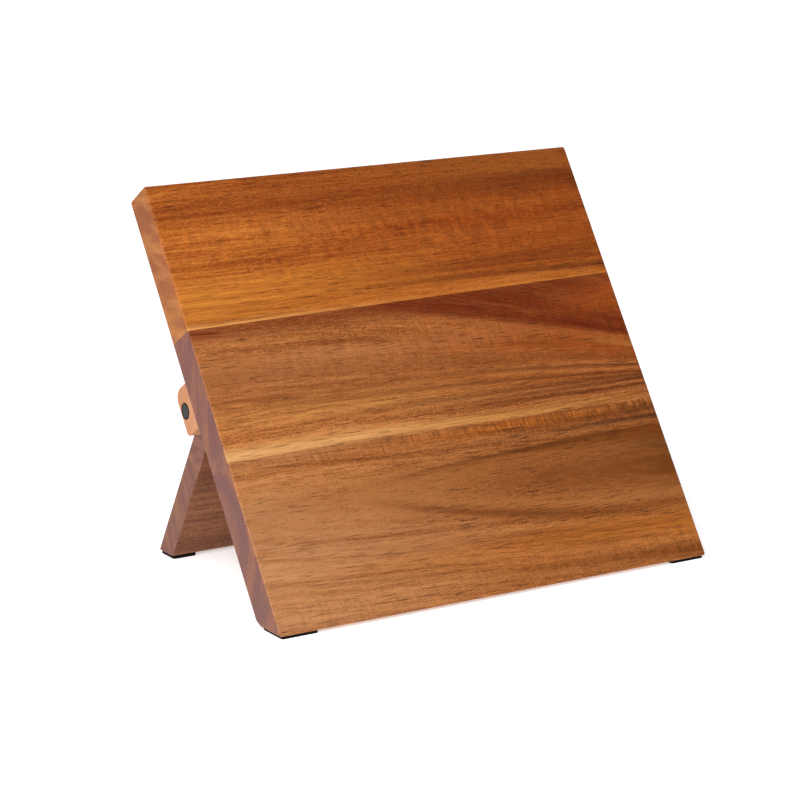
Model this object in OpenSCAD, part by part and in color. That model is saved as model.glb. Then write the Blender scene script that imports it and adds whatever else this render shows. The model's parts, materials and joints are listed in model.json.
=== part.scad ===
// Folding magnetic knife board. A board of three glued planks holds rows of magnets,
// let in from behind under wooden covers, and leans back on a hinged easel leg.
// Millimetres. +Z is up and the front face looks towards -Y. The origin is the middle
// of the footprint, on the surface that the rubber feet stand on.

/* [Board] */
// Width of the board, left to right
board_w = 305; // [280:5:400]
// Length of the board along its slope
board_h = 283.9; // [270:0.1:320]
// Thickness of the board
board_t = 22.3; // [21:0.1:26]
// Lean of the board back from the vertical, in degrees
board_lean = 33.7; // [31:0.1:36]
// Place of the lower glue joint, measured up the slope
lower_joint = 107; // [100:1:112]
// Place of the upper glue joint at the board's left end
upper_joint_left = 190.1; // [186:0.1:196]
// Place of the upper glue joint at the board's right end
upper_joint_right = 194; // [186:0.1:196]
// Radius of the board's eased front edges
front_edge_r = 1.5; // [0.5:0.1:2]
// Radius of the board's rounded top back edge
top_back_r = 2; // [1:0.1:4]
// Bevel at the heel, measured forwards along the bottom cut
heel_bevel_bottom = 4.2; // [1:0.1:6]
// Bevel at the heel, measured up the back face
heel_bevel_back = 2.3; // [1:0.1:4]

/* [Magnets] */
// Magnets in each plank
magnet_count = 8; // [4:1:8]
// Distance between the middles of neighbouring magnets
magnet_pitch = 30; // [26:1:31]
// Length of one block magnet
magnet_l = 25; // [15:1:25]
// Height of one block magnet
magnet_h = 10; // [8:1:12]
// Thickness of one block magnet
magnet_t = 6; // [3:1:8]
// Wood left in front of the magnets
front_wall = 3.5; // [2:0.5:5]
// Place of the bottom row of magnets, measured up the slope
bottom_row = 62; // [55:1:80]
// Place of the middle row of magnets, measured up the slope
middle_row = 149.5; // [135:0.5:165]
// Place of the top row of magnets, measured up the slope
top_row = 238; // [215:1:250]

/* [Hinge] */
// Height of a hinge lug along the slope
lug_h = 28.9; // [26:0.1:34]
// How far a lug stands out from the board's back
lug_depth = 25.4; // [24:0.1:30]
// Width of a lug, along the hinge
lug_w = 16; // [12:0.5:20]
// Distance from the board's end to the lug's outer face
lug_inset = 5.7; // [3:0.1:12]
// Radius of the lug's upper outer corner
lug_top_r = 7.5; // [4:0.5:8]
// Radius of the lug's lower outer corner
lug_bottom_r = 3; // [1:0.5:6]
// Distance of the pivot from the board's back
pin_back = 19.4; // [18:0.1:20]
// Place of the pivot, measured up the slope
pin_up = 155.2; // [150:0.1:160]
// Diameter of a pivot pin
pin_d = 6; // [5:0.5:7]
// Length of a pivot pin
pin_l = 38; // [30:1:50]
// Diameter of the cap over a pin
cap_d = 10.2; // [9:0.1:11]
// Thickness of the cap
cap_t = 2.4; // [2:0.1:3]
// Gap between a lug and the end of the leg
hinge_gap = 0.8; // [0.6:0.1:1.5]
// Outer diameter of the hinge washers
washer_d = 14; // [11:0.5:16]
// Thickness of the hinge washers
washer_t = 0.5; // [0.3:0.1:0.5]

/* [Lug screws] */
// Length of a screw
screw_l = 35; // [32:1:38]
// Diameter of a screw's shank
screw_d = 3.5; // [3:0.1:4]
// Diameter of a screw's countersunk head
screw_head_d = 7; // [6:0.1:7.5]
// Distance of each screw from the pivot, up and down the slope
screw_offset = 6.2; // [5.9:0.1:6.6]
// Depth of the screw head below the lug's rear face
screw_sink = 1.2; // [0.5:0.1:3]

/* [Leg] */
// Thickness of the leg
leg_t = 16; // [14:0.5:18]
// Lean of the leg forwards from the vertical, in degrees
leg_lean = 30.1; // [28:0.1:32]
// Distance from the pivot to the leg's top edge
leg_top = 20.5; // [19:0.1:22]
// Distance from the pivot down to the leg's glue joint
leg_joint_down = 47.5; // [40:0.5:60]
// Radius of the leg's rounded bottom edges
leg_foot_r = 2; // [1:0.1:3]
// Radius of the leg's rounded top edge
leg_top_r = 3.5; // [1:0.1:5]
// Gap left between the leg's stop face and the board at rest
stop_gap = 0.3; // [0.2:0.05:0.5]

/* [Feet] */
// Thickness of the rubber feet
foot_t = 1.8; // [1.6:0.1:4]
// Width of a board foot
board_foot_w = 24; // [16:1:30]
// Depth of a board foot, front to back
board_foot_d = 22.2; // [16:0.1:22.2]
// Distance from the board's end to its foot
board_foot_inset = 2; // [1:0.1:6]
// Width of a leg foot
leg_foot_w = 16; // [12:0.5:30]
// Depth of a leg foot, front to back
leg_foot_d = 16.4; // [10:0.1:16.4]
// Distance from the leg's end to its foot
leg_foot_inset = 0.8; // [0.5:0.1:6]

/* [Hidden] */
$fn = 48;
left = -1;
right = 1;

// Overshoot that keeps a cutting tool's faces clear of the faces it cuts
over = 1;
// Straight pieces in each rounded corner of an outline
arc_steps = 5;
// Play around a magnet in its slot
magnet_play = 0.2;
// Play around a slot cover and around a cap
cover_play = 0.05;
// Radial play of the pin in a lug, where it stays put
lug_pin_play = 0.02;
// Radial play of the pin in the leg, which turns on it
leg_pin_play = 0.05;
// Radial play of the washer on the pin
washer_play = 0.2;
// Wood past the end of the pin in the leg's bore
bore_extra = 0.8;
// Radius of the corners of the rubber feet
foot_corner_r = 1.5;
// Distance of a board foot behind the board's front edge
board_foot_back = 1.2;
// Distance of a leg foot behind the front of the leg's bottom cut
leg_foot_back = 0.5;

// The pivot, seen from the side, in the board's own frame
pin_out = board_t + pin_back;
// The pivot, seen from the side, behind the board's front bottom edge and above the floor
pin_behind = pin_out * cos(board_lean) + pin_up * sin(board_lean);
pin_z = foot_t - pin_out * sin(board_lean) + pin_up * cos(board_lean);
// Angle between the board and the open leg
open_angle = board_lean + leg_lean;
// Distance along the leg from the pivot to its bottom cut, out = distance behind its middle
function cut_down(out) = (pin_z - foot_t + out * sin(leg_lean)) / cos(leg_lean);
// Horizontal distance of the leg's bottom cut behind the pivot
function cut_behind(out) = out * cos(leg_lean) + cut_down(out) * sin(leg_lean);
// How far rounding a sloping corner of radius r pulls in its extreme point
function corner_loss(r, lean) = r * ((1 + sin(lean)) / cos(lean) - 1);
// Front and back ends of the footprint, from the board's front bottom edge
footprint_front = corner_loss(front_edge_r, board_lean);
footprint_back = pin_behind + cut_behind(leg_t / 2) - corner_loss(leg_foot_r, leg_lean);
// The board's front bottom edge and the pivot in the part's frame
board_y = -(footprint_front + footprint_back) / 2;
pin_y = board_y + pin_behind;

lug_x = board_w / 2 - lug_inset - lug_w / 2;
leg_w = board_w - 2 * (lug_inset + lug_w + hinge_gap);
bore_depth = pin_l + cap_t - lug_w - hinge_gap + bore_extra;
slot_h = magnet_h + 2 * magnet_play;
slot_straight = (magnet_count - 1) * magnet_pitch + magnet_l + 2 * magnet_play;
magnet_back = front_wall + magnet_play + magnet_t;

function unit(v) = v / norm(v);

// The points of corner b, between a and c, rounded to radius r
function rounded_corner(a, b, c, r) =
  r == 0 ? [b] :
  let (
    to_a = unit(a - b),
    to_c = unit(c - b),
    half = acos(to_a * to_c) / 2,
    centre = b + unit(to_a + to_c) * r / sin(half),
    from = b + to_a * r / tan(half) - centre,
    upto = b + to_c * r / tan(half) - centre,
    start = atan2(from.y, from.x),
    turn = (atan2(upto.y, upto.x) - start + 540) % 360 - 180
  )
  [for (k = [0:arc_steps])
    let (angle = start + turn * k / arc_steps)
    centre + r * [cos(angle), sin(angle)]];

// An outline with each corner rounded; a corner is [point, radius]
function rounded_outline(corners) =
  let (n = len(corners))
  [for (i = [0:n - 1])
    each rounded_corner(
      corners[(i + n - 1) % n][0], corners[i][0], corners[(i + 1) % n][0], corners[i][1]
    )];

// Extrudes a side view, drawn as [back, up], along X
module along_x(length) {
  rotate([90, 0, 90])
    linear_extrude(height = length, center = true) children();
}

// A frame with its Z up the board's slope, its Y into the board, on the front bottom edge
module in_board_frame() {
  translate([0, board_y, foot_t])
    rotate([-board_lean, 0, 0]) children();
}

// A frame with its Z up the leg and its Y out of the leg's outer face, on the pivot
module in_leg_frame() {
  translate([0, pin_y, pin_z])
    rotate([leg_lean, 0, 0]) children();
}

// The whole board before it is split into planks
module board_blank() {
  heel_up = board_t * tan(board_lean) + heel_bevel_back;
  heel_along = board_t / cos(board_lean) - heel_bevel_bottom;
  along_x(board_w)
    polygon(rounded_outline([
      [[0, 0], front_edge_r],
      [[0, board_h], front_edge_r],
      [[board_t, board_h], top_back_r],
      [[board_t, heel_up], 0],
      [heel_along * [cos(board_lean), sin(board_lean)], 0]
    ]));
}

// The part of the slope between two joints; each joint is [height at left, height at right]
module band(low, high) {
  half_w = board_w / 2 + over;
  translate([0, board_t + over, 0])
    rotate([90, 0, 0])
      linear_extrude(height = board_t + 2 * over)
        polygon([
          [-half_w, low[0]], [half_w, low[1]],
          [half_w, high[1]], [-half_w, high[0]]
        ]);
}

// A round-ended bar along X, lying between two depths from the board's front face
module round_ended_bar(row, height, front, back) {
  translate([-slot_straight / 2, front, row - height / 2])
    cube([slot_straight, back - front, height]);
  for (side = [left, right])
    translate([side * slot_straight / 2, front, row])
      rotate([-90, 0, 0]) cylinder(d = height, h = back - front);
}

// One plank of the board, with its slot for magnets cut from behind
module plank(low, high, row) {
  in_board_frame()
    difference() {
      intersection() {
        board_blank();
        band(low, high);
      }
      round_ended_bar(row, slot_h, front_wall, board_t + over);
      children();
    }
}

// A row of block magnets at the bottom of its slot
module magnet_row(row) {
  color("silver")
    in_board_frame()
      for (i = [0:magnet_count - 1])
        translate([(i - (magnet_count - 1) / 2) * magnet_pitch - magnet_l / 2,
                   front_wall + magnet_play / 2, row - magnet_h / 2])
          cube([magnet_l, magnet_t, magnet_h]);
}

// The wooden cover that closes a slot, flush with the board's back
module slot_cover(row) {
  color("#8a5230")
    in_board_frame()
      round_ended_bar(row, slot_h - 2 * cover_play, magnet_back, board_t);
}

// Places a child at both screws of one lug, its Z out of the lug's rear face
module at_screws(side) {
  for (step = [-1, 1])
    translate([side * lug_x, board_t + lug_depth - screw_sink, pin_up + step * screw_offset])
      rotate([-90, 0, 0]) children();
}

// A countersunk screw from its head's top face down, play being added all round
module screw_solid(play) {
  head_h = (screw_head_d - screw_d) / 2;
  tip_h = screw_d;
  rotate_extrude()
    polygon([
      [0, 0],
      [screw_head_d / 2 + play, 0],
      [screw_d / 2 + play, -head_h],
      [screw_d / 2 + play, -screw_l + tip_h],
      [0, -screw_l]
    ]);
}

// The hole for a screw, with the recess that its head sinks into
module screw_hole() {
  hole_play = 0.1;
  screw_solid(hole_play);
  cylinder(d = screw_head_d + 2 * hole_play, h = screw_sink + over);
}

// The two screws that hold one lug, with cross recesses
module lug_screws(side) {
  recess_l = 4;
  recess_w = 0.9;
  recess_depth = 1.4;
  color("#3a3a3c")
    in_board_frame()
      at_screws(side)
        difference() {
          screw_solid(0);
          for (turn = [0, 90])
            rotate(turn)
              translate([-recess_l / 2, -recess_w / 2, -recess_depth])
                cube([recess_l, recess_w, recess_depth + over]);
        }
}

// Places a child on the pivot of one side, its Z along the hinge and away from the leg,
// its origin on the lug's outer face
module at_lug_face(side) {
  translate([0, pin_y, pin_z])
    mirror([side == left ? 1 : 0, 0, 0])
      translate([lug_x + lug_w / 2, 0, 0])
        rotate([0, 90, 0]) children();
}

// A hinge lug, screwed to the board's back
module hinge_lug(side) {
  color("#d99a62")
    difference() {
      in_board_frame()
        difference() {
          translate([side * lug_x, 0, 0])
            along_x(lug_w)
              polygon(rounded_outline([
                [[board_t, pin_up - lug_h / 2], 0],
                [[board_t + lug_depth, pin_up - lug_h / 2], lug_bottom_r],
                [[board_t + lug_depth, pin_up + lug_h / 2], lug_top_r],
                [[board_t, pin_up + lug_h / 2], 0]
              ]));
          at_screws(side) screw_hole();
        }
      at_lug_face(side) {
        translate([0, 0, -lug_w - over])
          cylinder(d = pin_d + 2 * lug_pin_play, h = lug_w + 2 * over);
        translate([0, 0, -cap_t])
          cylinder(d = cap_d + 2 * cover_play, h = cap_t + over);
      }
    }
}

// A steel pin, fixed in a lug and reaching into the leg
module pivot_pin(side) {
  chamfer = 0.5;
  color("silver")
    at_lug_face(side)
      translate([0, 0, -cap_t - pin_l])
        rotate_extrude()
          polygon([
            [0, 0],
            [pin_d / 2 - chamfer, 0],
            [pin_d / 2, chamfer],
            [pin_d / 2, pin_l - chamfer],
            [pin_d / 2 - chamfer, pin_l],
            [0, pin_l]
          ]);
}

// A plastic cap that hides the end of a pin, with a ring groove round its face
module pin_cap(side) {
  rim = 0.3;
  groove_out = cap_d / 2 - 0.4;
  groove_in = groove_out - 0.5;
  groove_depth = 0.5;
  color("#1c1d1f")
    at_lug_face(side)
      translate([0, 0, -cap_t])
        rotate_extrude()
          polygon([
            [0, 0],
            [cap_d / 2, 0],
            [cap_d / 2, cap_t - rim],
            [groove_out, cap_t],
            [groove_out, cap_t - groove_depth],
            [groove_in, cap_t - groove_depth],
            [groove_in, cap_t],
            [0, cap_t]
          ]);
}

// A nylon washer on the pin, against the lug
module hinge_washer(side) {
  color("#e8e6de")
    at_lug_face(side)
      translate([0, 0, -lug_w - washer_t])
        difference() {
          cylinder(d = washer_d, h = washer_t);
          translate([0, 0, -over])
            cylinder(d = pin_d + 2 * washer_play, h = washer_t + 2 * over);
        }
}

// The whole leg before it is split into planks: its top has a face that stops on the board
module leg_blank() {
  half_t = leg_t / 2;
  stop_reach = pin_back - stop_gap;
  stop_low = (stop_reach - half_t * cos(open_angle)) / sin(open_angle);
  stop_end = (stop_reach - leg_top * sin(open_angle)) / cos(open_angle);
  along_x(leg_w)
    polygon(rounded_outline([
      [[-half_t, -cut_down(-half_t)], leg_foot_r],
      [[-half_t, stop_low], 0],
      [[-stop_end, leg_top], 0],
      [[half_t, leg_top], leg_top_r],
      [[half_t, -cut_down(half_t)], leg_foot_r]
    ]));
}

// The leg's upper plank, bored at both ends for the pins
module leg_plank_upper() {
  color("#7a4a2e")
    difference() {
      in_leg_frame()
        intersection() {
          leg_blank();
          translate([-leg_w, -leg_t, -leg_joint_down])
            cube([2 * leg_w, 2 * leg_t, leg_joint_down + leg_top + over]);
        }
      for (side = [left, right])
        at_lug_face(side)
          translate([0, 0, -lug_w - hinge_gap - bore_depth])
            cylinder(d = pin_d + 2 * leg_pin_play, h = bore_depth + over);
    }
}

// The leg's lower plank
module leg_plank_lower() {
  down = cut_down(leg_t / 2);
  color("#6e4028")
    in_leg_frame()
      intersection() {
        leg_blank();
        translate([-leg_w, -leg_t, -down - over])
          cube([2 * leg_w, 2 * leg_t, down + over - leg_joint_down]);
      }
}

// A rubber foot with its inner front corner at the given place, going outwards on its side
module foot(side, inner_x, front_y, width, depth) {
  color("#19191a")
    mirror([side == left ? 1 : 0, 0, 0])
      linear_extrude(height = foot_t)
        polygon(rounded_outline([
          [[inner_x, front_y], foot_corner_r],
          [[inner_x + width, front_y], foot_corner_r],
          [[inner_x + width, front_y + depth], foot_corner_r],
          [[inner_x, front_y + depth], foot_corner_r]
        ]));
}

module board_foot(side) {
  foot(side, board_w / 2 - board_foot_inset - board_foot_w, board_y + board_foot_back,
       board_foot_w, board_foot_d);
}

module leg_foot(side) {
  foot(side, leg_w / 2 - leg_foot_inset - leg_foot_w,
       pin_y + cut_behind(-leg_t / 2) + leg_foot_back, leg_foot_w, leg_foot_d);
}

module plank_top() {
  color("#a3602c")
    plank([upper_joint_left, upper_joint_right], [board_h + over, board_h + over], top_row);
}

module plank_middle() {
  color("#9c6330")
    plank([lower_joint, lower_joint], [upper_joint_left, upper_joint_right], middle_row)
      for (side = [left, right])
        at_screws(side) screw_hole();
}

module plank_bottom() {
  color("#a87444")
    plank([-over, -over], [lower_joint, lower_joint], bottom_row);
}

module magnets_top() magnet_row(top_row);
module magnets_middle() magnet_row(middle_row);
module magnets_bottom() magnet_row(bottom_row);
module slot_cover_top() slot_cover(top_row);
module slot_cover_middle() slot_cover(middle_row);
module slot_cover_bottom() slot_cover(bottom_row);
module hinge_lug_left() hinge_lug(left);
module hinge_lug_right() hinge_lug(right);
module lug_screws_left() lug_screws(left);
module lug_screws_right() lug_screws(right);
module pivot_pin_left() pivot_pin(left);
module pivot_pin_right() pivot_pin(right);
module pin_cap_left() pin_cap(left);
module pin_cap_right() pin_cap(right);
module hinge_washer_left() hinge_washer(left);
module hinge_washer_right() hinge_washer(right);
module board_foot_left() board_foot(left);
module board_foot_right() board_foot(right);
module leg_foot_left() leg_foot(left);
module leg_foot_right() leg_foot(right);

plank_top();
plank_middle();
plank_bottom();
magnets_top();
magnets_middle();
magnets_bottom();
slot_cover_top();
slot_cover_middle();
slot_cover_bottom();
hinge_lug_left();
hinge_lug_right();
lug_screws_left();
lug_screws_right();
pivot_pin_left();
pivot_pin_right();
pin_cap_left();
pin_cap_right();
hinge_washer_left();
hinge_washer_right();
leg_plank_upper();
leg_plank_lower();
board_foot_left();
board_foot_right();
leg_foot_left();
leg_foot_right();
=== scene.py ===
import json
import math

import bmesh
import bpy
from mathutils import Matrix, Vector


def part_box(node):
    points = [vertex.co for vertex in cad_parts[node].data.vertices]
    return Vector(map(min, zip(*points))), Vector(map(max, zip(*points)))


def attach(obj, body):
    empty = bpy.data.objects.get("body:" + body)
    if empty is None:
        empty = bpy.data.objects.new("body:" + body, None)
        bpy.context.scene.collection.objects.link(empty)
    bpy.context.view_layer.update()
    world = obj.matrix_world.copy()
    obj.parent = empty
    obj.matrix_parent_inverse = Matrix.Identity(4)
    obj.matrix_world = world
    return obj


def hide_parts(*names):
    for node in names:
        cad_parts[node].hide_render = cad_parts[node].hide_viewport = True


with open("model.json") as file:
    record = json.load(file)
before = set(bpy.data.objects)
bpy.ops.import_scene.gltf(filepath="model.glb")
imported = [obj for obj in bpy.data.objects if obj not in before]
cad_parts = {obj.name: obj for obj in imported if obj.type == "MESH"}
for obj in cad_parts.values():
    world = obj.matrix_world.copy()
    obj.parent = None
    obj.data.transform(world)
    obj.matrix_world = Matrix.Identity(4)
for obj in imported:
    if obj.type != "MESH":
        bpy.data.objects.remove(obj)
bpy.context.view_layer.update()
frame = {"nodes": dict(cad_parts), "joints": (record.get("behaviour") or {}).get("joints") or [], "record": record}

MM = 0.001


# --- Camera -------------------------------------------------------------------------------------

CAMERA_AZIMUTH = math.radians(-32.17)
CAMERA_ELEVATION = math.radians(13.58)
CAMERA_DISTANCE = 1.6617
CAMERA_AIM = Vector((-0.0347, -0.0356, 0.1127))
CAMERA_SENSOR_MM = 36
CAMERA_LENS_MM = 125.68
CAMERA_SEES_TO = 60


def make_camera():
    """A long lens that looks at the aim from a distance, an azimuth and an elevation."""
    data = bpy.data.cameras.new("camera")
    data.sensor_width = CAMERA_SENSOR_MM
    data.lens = CAMERA_LENS_MM
    data.clip_end = CAMERA_SEES_TO
    camera = bpy.data.objects.new("camera", data)
    level = math.cos(CAMERA_ELEVATION)
    back = Vector((
        math.sin(CAMERA_AZIMUTH) * level,
        -math.cos(CAMERA_AZIMUTH) * level,
        math.sin(CAMERA_ELEVATION),
    ))
    camera.location = CAMERA_AIM + back * CAMERA_DISTANCE
    camera.rotation_mode = "QUATERNION"
    camera.rotation_quaternion = (-back).to_track_quat("-Z", "Y")
    bpy.context.scene.collection.objects.link(camera)
    bpy.context.scene.camera = camera


make_camera()


# --- What the CAD says --------------------------------------------------------------------------

NEARLY_FACING = 0.97  # cosine of the angle within which a face looks towards a direction

# roughly where some CAD faces look; cad_face finds their true directions
LEG_OUTER_FACE = (0, 0.86, 0.5)
BOARD_HEEL = (0, 0.34, -0.94)
DOWN = (0, 0, -1)


class Side:
    """A tilted frame: its X is the part's X, its Y points out of a board's back, its Z up the board."""

    def __init__(self, origin, angle):
        self.origin = Vector(origin)
        self.angle = angle
        self.matrix = Matrix.Translation(self.origin) @ Matrix.Rotation(angle, 4, "X")

    def local(self, point):
        return self.matrix.inverted() @ Vector(point)

    def direction(self, out, up):
        return self.matrix.to_3x3() @ Vector((0, out, up))


def cad_face(node, towards):
    """The outer plane of a CAD node that looks nearly towards a direction: a point and its normal."""
    towards = Vector(towards).normalized()
    areas = {}
    mesh = frame["nodes"][node].data
    for polygon in mesh.polygons:
        if polygon.normal.dot(towards) > NEARLY_FACING:
            key = tuple(round(c, 4) for c in polygon.normal)
            areas[key] = areas.get(key, 0) + polygon.area
    normal = Vector(max(areas, key=areas.get)).normalized()
    return max((v.co for v in mesh.vertices), key=normal.dot).copy(), normal


def span(node, side):
    """Lowest and highest corner of a CAD node in a tilted frame."""
    points = [side.local(v.co) for v in frame["nodes"][node].data.vertices]
    low = Vector([min(p[i] for p in points) for i in range(3)])
    high = Vector([max(p[i] for p in points) for i in range(3)])
    return low, high


def tilted(origin, normal_back):
    """The tilted frame at an origin whose Y is the given normal."""
    return Side(origin, math.atan2(normal_back.z, normal_back.y))


foot_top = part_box("board_foot_left")[1].z
knife_face = next(m for m in frame["record"]["mounts"] if m["name"] == "knife_face")
hinge = frame["joints"][0]
face_point = Vector(knife_face["pos_m"])
face_back = -Vector(knife_face["axis"])
face_up = Vector((0, -face_back.z, face_back.y))
board_side = tilted(face_point - face_up * ((face_point.z - foot_top) / face_up.z), face_back)
leg_side = tilted(hinge["pos_m"], cad_face("leg_plank_lower", LEG_OUTER_FACE)[1])
half_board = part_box("plank_top")[1].x
half_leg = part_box("leg_plank_lower")[1].x


# --- Mesh tools ---------------------------------------------------------------------------------

SHARP_ANGLE = math.radians(32)   # edges that turn more than this stay sharp in the shading
CORNER_ANGLE = math.radians(35)  # edges that turn more than this are corners to be eased
FLAT_ANGLE = math.radians(0.5)   # faces that differ by less than this are one face
SAME_PLACE = 0.001 * MM          # points nearer than this are at one place
NEAR = 0.2 * MM                  # a corner is looked for within this of where the CAD has it
JOINT_EASE = 0.12 * MM
OVERCUT = 5 * MM                 # how far a cutter stands proud of what it cuts
BLANK_REACH = 0.6                # half the width of the block that a blank is cut from
ROUND_STEPS = 64                 # flats round a turned piece


def block(low, high):
    """A box between two corners, as a bmesh."""
    bm = bmesh.new()
    bmesh.ops.create_cube(bm, size=1)
    low, high = Vector(low), Vector(high)
    for v in bm.verts:
        v.co = Vector([(low[i] + high[i]) / 2 + v.co[i] * (high[i] - low[i]) for i in range(3)])
    return bm


def cut(bm, point, normal):
    """Removes what lies beyond a plane and closes the cut; returns the new face's edges."""
    bmesh.ops.bisect_plane(
        bm, geom=bm.verts[:] + bm.edges[:] + bm.faces[:], dist=1e-7,
        plane_co=point, plane_no=normal, clear_outer=True,
    )
    rim = [e for e in bm.edges if e.is_boundary]
    bmesh.ops.holes_fill(bm, edges=rim, sides=0)
    bmesh.ops.recalc_face_normals(bm, faces=bm.faces)
    return rim


def solid_between(planes):
    """The convex solid inside planes, which are (point, outward normal), cut from a large block."""
    bm = block((-BLANK_REACH,) * 3, (BLANK_REACH,) * 3)
    for point, normal in planes:
        cut(bm, point, normal)
    bmesh.ops.dissolve_limit(bm, angle_limit=FLAT_ANGLE, verts=bm.verts, edges=bm.edges)
    return bm


def is_corner(edge):
    return len(edge.link_faces) == 2 and edge.calc_face_angle(0) > CORNER_ANGLE


def ease(bm, radius, pick, segments=4):
    """Rounds the picked edges that are corners to a radius."""
    edges = [e for e in bm.edges if is_corner(e) and pick(e)]
    bmesh.ops.bevel(
        bm, geom=edges, offset=radius, offset_type="OFFSET", segments=segments,
        profile=0.5, affect="EDGES", clamp_overlap=True,
    )


def cut_joint(bm, point, normal):
    """Cuts at a glue joint and takes the sharpness off the cut's rim."""
    rim = cut(bm, point, normal)
    bmesh.ops.bevel(
        bm, geom=rim, offset=JOINT_EASE, offset_type="OFFSET", segments=1,
        affect="EDGES", clamp_overlap=True,
    )


def finish_mesh(bm, name, matrix=None):
    """Turns a bmesh into an object with smooth shading that keeps its sharp edges."""
    if matrix is not None:
        bmesh.ops.transform(bm, matrix=matrix, verts=bm.verts)
    bmesh.ops.recalc_face_normals(bm, faces=bm.faces)
    mesh = bpy.data.meshes.new(name)
    bm.to_mesh(mesh)
    bm.free()
    mesh.shade_smooth()
    mesh.set_sharp_from_angle(angle=SHARP_ANGLE)
    piece = bpy.data.objects.new(name, mesh)
    bpy.context.scene.collection.objects.link(piece)
    return piece


def carve(piece, cutters):
    """Cuts other objects out of a piece for good; the piece is left without a material."""
    for cutter in cutters:
        modifier = piece.modifiers.new("cut", "BOOLEAN")
        modifier.object = cutter
        modifier.operation = "DIFFERENCE"
        modifier.solver = "EXACT"
        evaluated = piece.evaluated_get(bpy.context.evaluated_depsgraph_get())
        mesh = bpy.data.meshes.new_from_object(evaluated)
        piece.modifiers.clear()
        old, piece.data = piece.data, mesh
        bpy.data.meshes.remove(old)
    piece.data.name = piece.name
    piece.data.shade_smooth()
    piece.data.set_sharp_from_angle(angle=SHARP_ANGLE)
    piece.data.materials.clear()
    for cutter in cutters:
        bpy.data.objects.remove(cutter)


def settle(piece, material, body, slot, *nodes):
    """Gives a piece its material, and says what body it moves with and what it replaces; its slot is not used."""
    piece.data.materials.append(material)
    normals = piece.modifiers.new("normals", "WEIGHTED_NORMAL")
    normals.keep_sharp = True
    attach(piece, body)
    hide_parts(*nodes)


def lathe(name, profile):
    """Turns a closed (radius, height) outline about Z; the outline starts and ends on the axis."""
    bm = bmesh.new()
    rings = []
    for radius, height in profile:
        if radius == 0:
            rings.append([bm.verts.new((0, 0, height))])
        else:
            rings.append([
                bm.verts.new((
                    radius * math.cos(2 * math.pi * k / ROUND_STEPS),
                    radius * math.sin(2 * math.pi * k / ROUND_STEPS),
                    height,
                ))
                for k in range(ROUND_STEPS)
            ])
    for lower, upper in zip(rings, rings[1:]):
        for k in range(ROUND_STEPS):
            corners = [lower[k % len(lower)], lower[(k + 1) % len(lower)],
                       upper[(k + 1) % len(upper)], upper[k % len(upper)]]
            corners = list(dict.fromkeys(corners))
            if len(corners) > 2:
                bm.faces.new(corners)
    return finish_mesh(bm, name)


# --- Material tools -----------------------------------------------------------------------------

# how squarely a face looks along X, from 0 to 1, when end grain starts to show and is full
END_STARTS = 0.45
END_FULL = 0.9


def linear(hex_colour):
    """A colour written as sRGB hex digits, as the linear values that the shader takes."""
    out = []
    for i in range(0, 6, 2):
        c = int(hex_colour[i:i + 2], 16) / 255
        out.append(c / 12.92 if c <= 0.04045 else ((c + 0.055) / 1.055) ** 2.4)
    return (*out, 1.0)


class Value:
    """A number or colour in a node tree, so that formulas can be written as formulas."""

    def __init__(self, net, socket):
        self.net = net
        self.socket = socket

    def __add__(self, other):
        return self.net.math("ADD", self, other)

    def __sub__(self, other):
        return self.net.math("SUBTRACT", self, other)

    def __rsub__(self, other):
        return self.net.math("SUBTRACT", other, self)

    def __mul__(self, other):
        return self.net.math("MULTIPLY", self, other)

    __radd__ = __add__
    __rmul__ = __mul__


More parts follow.
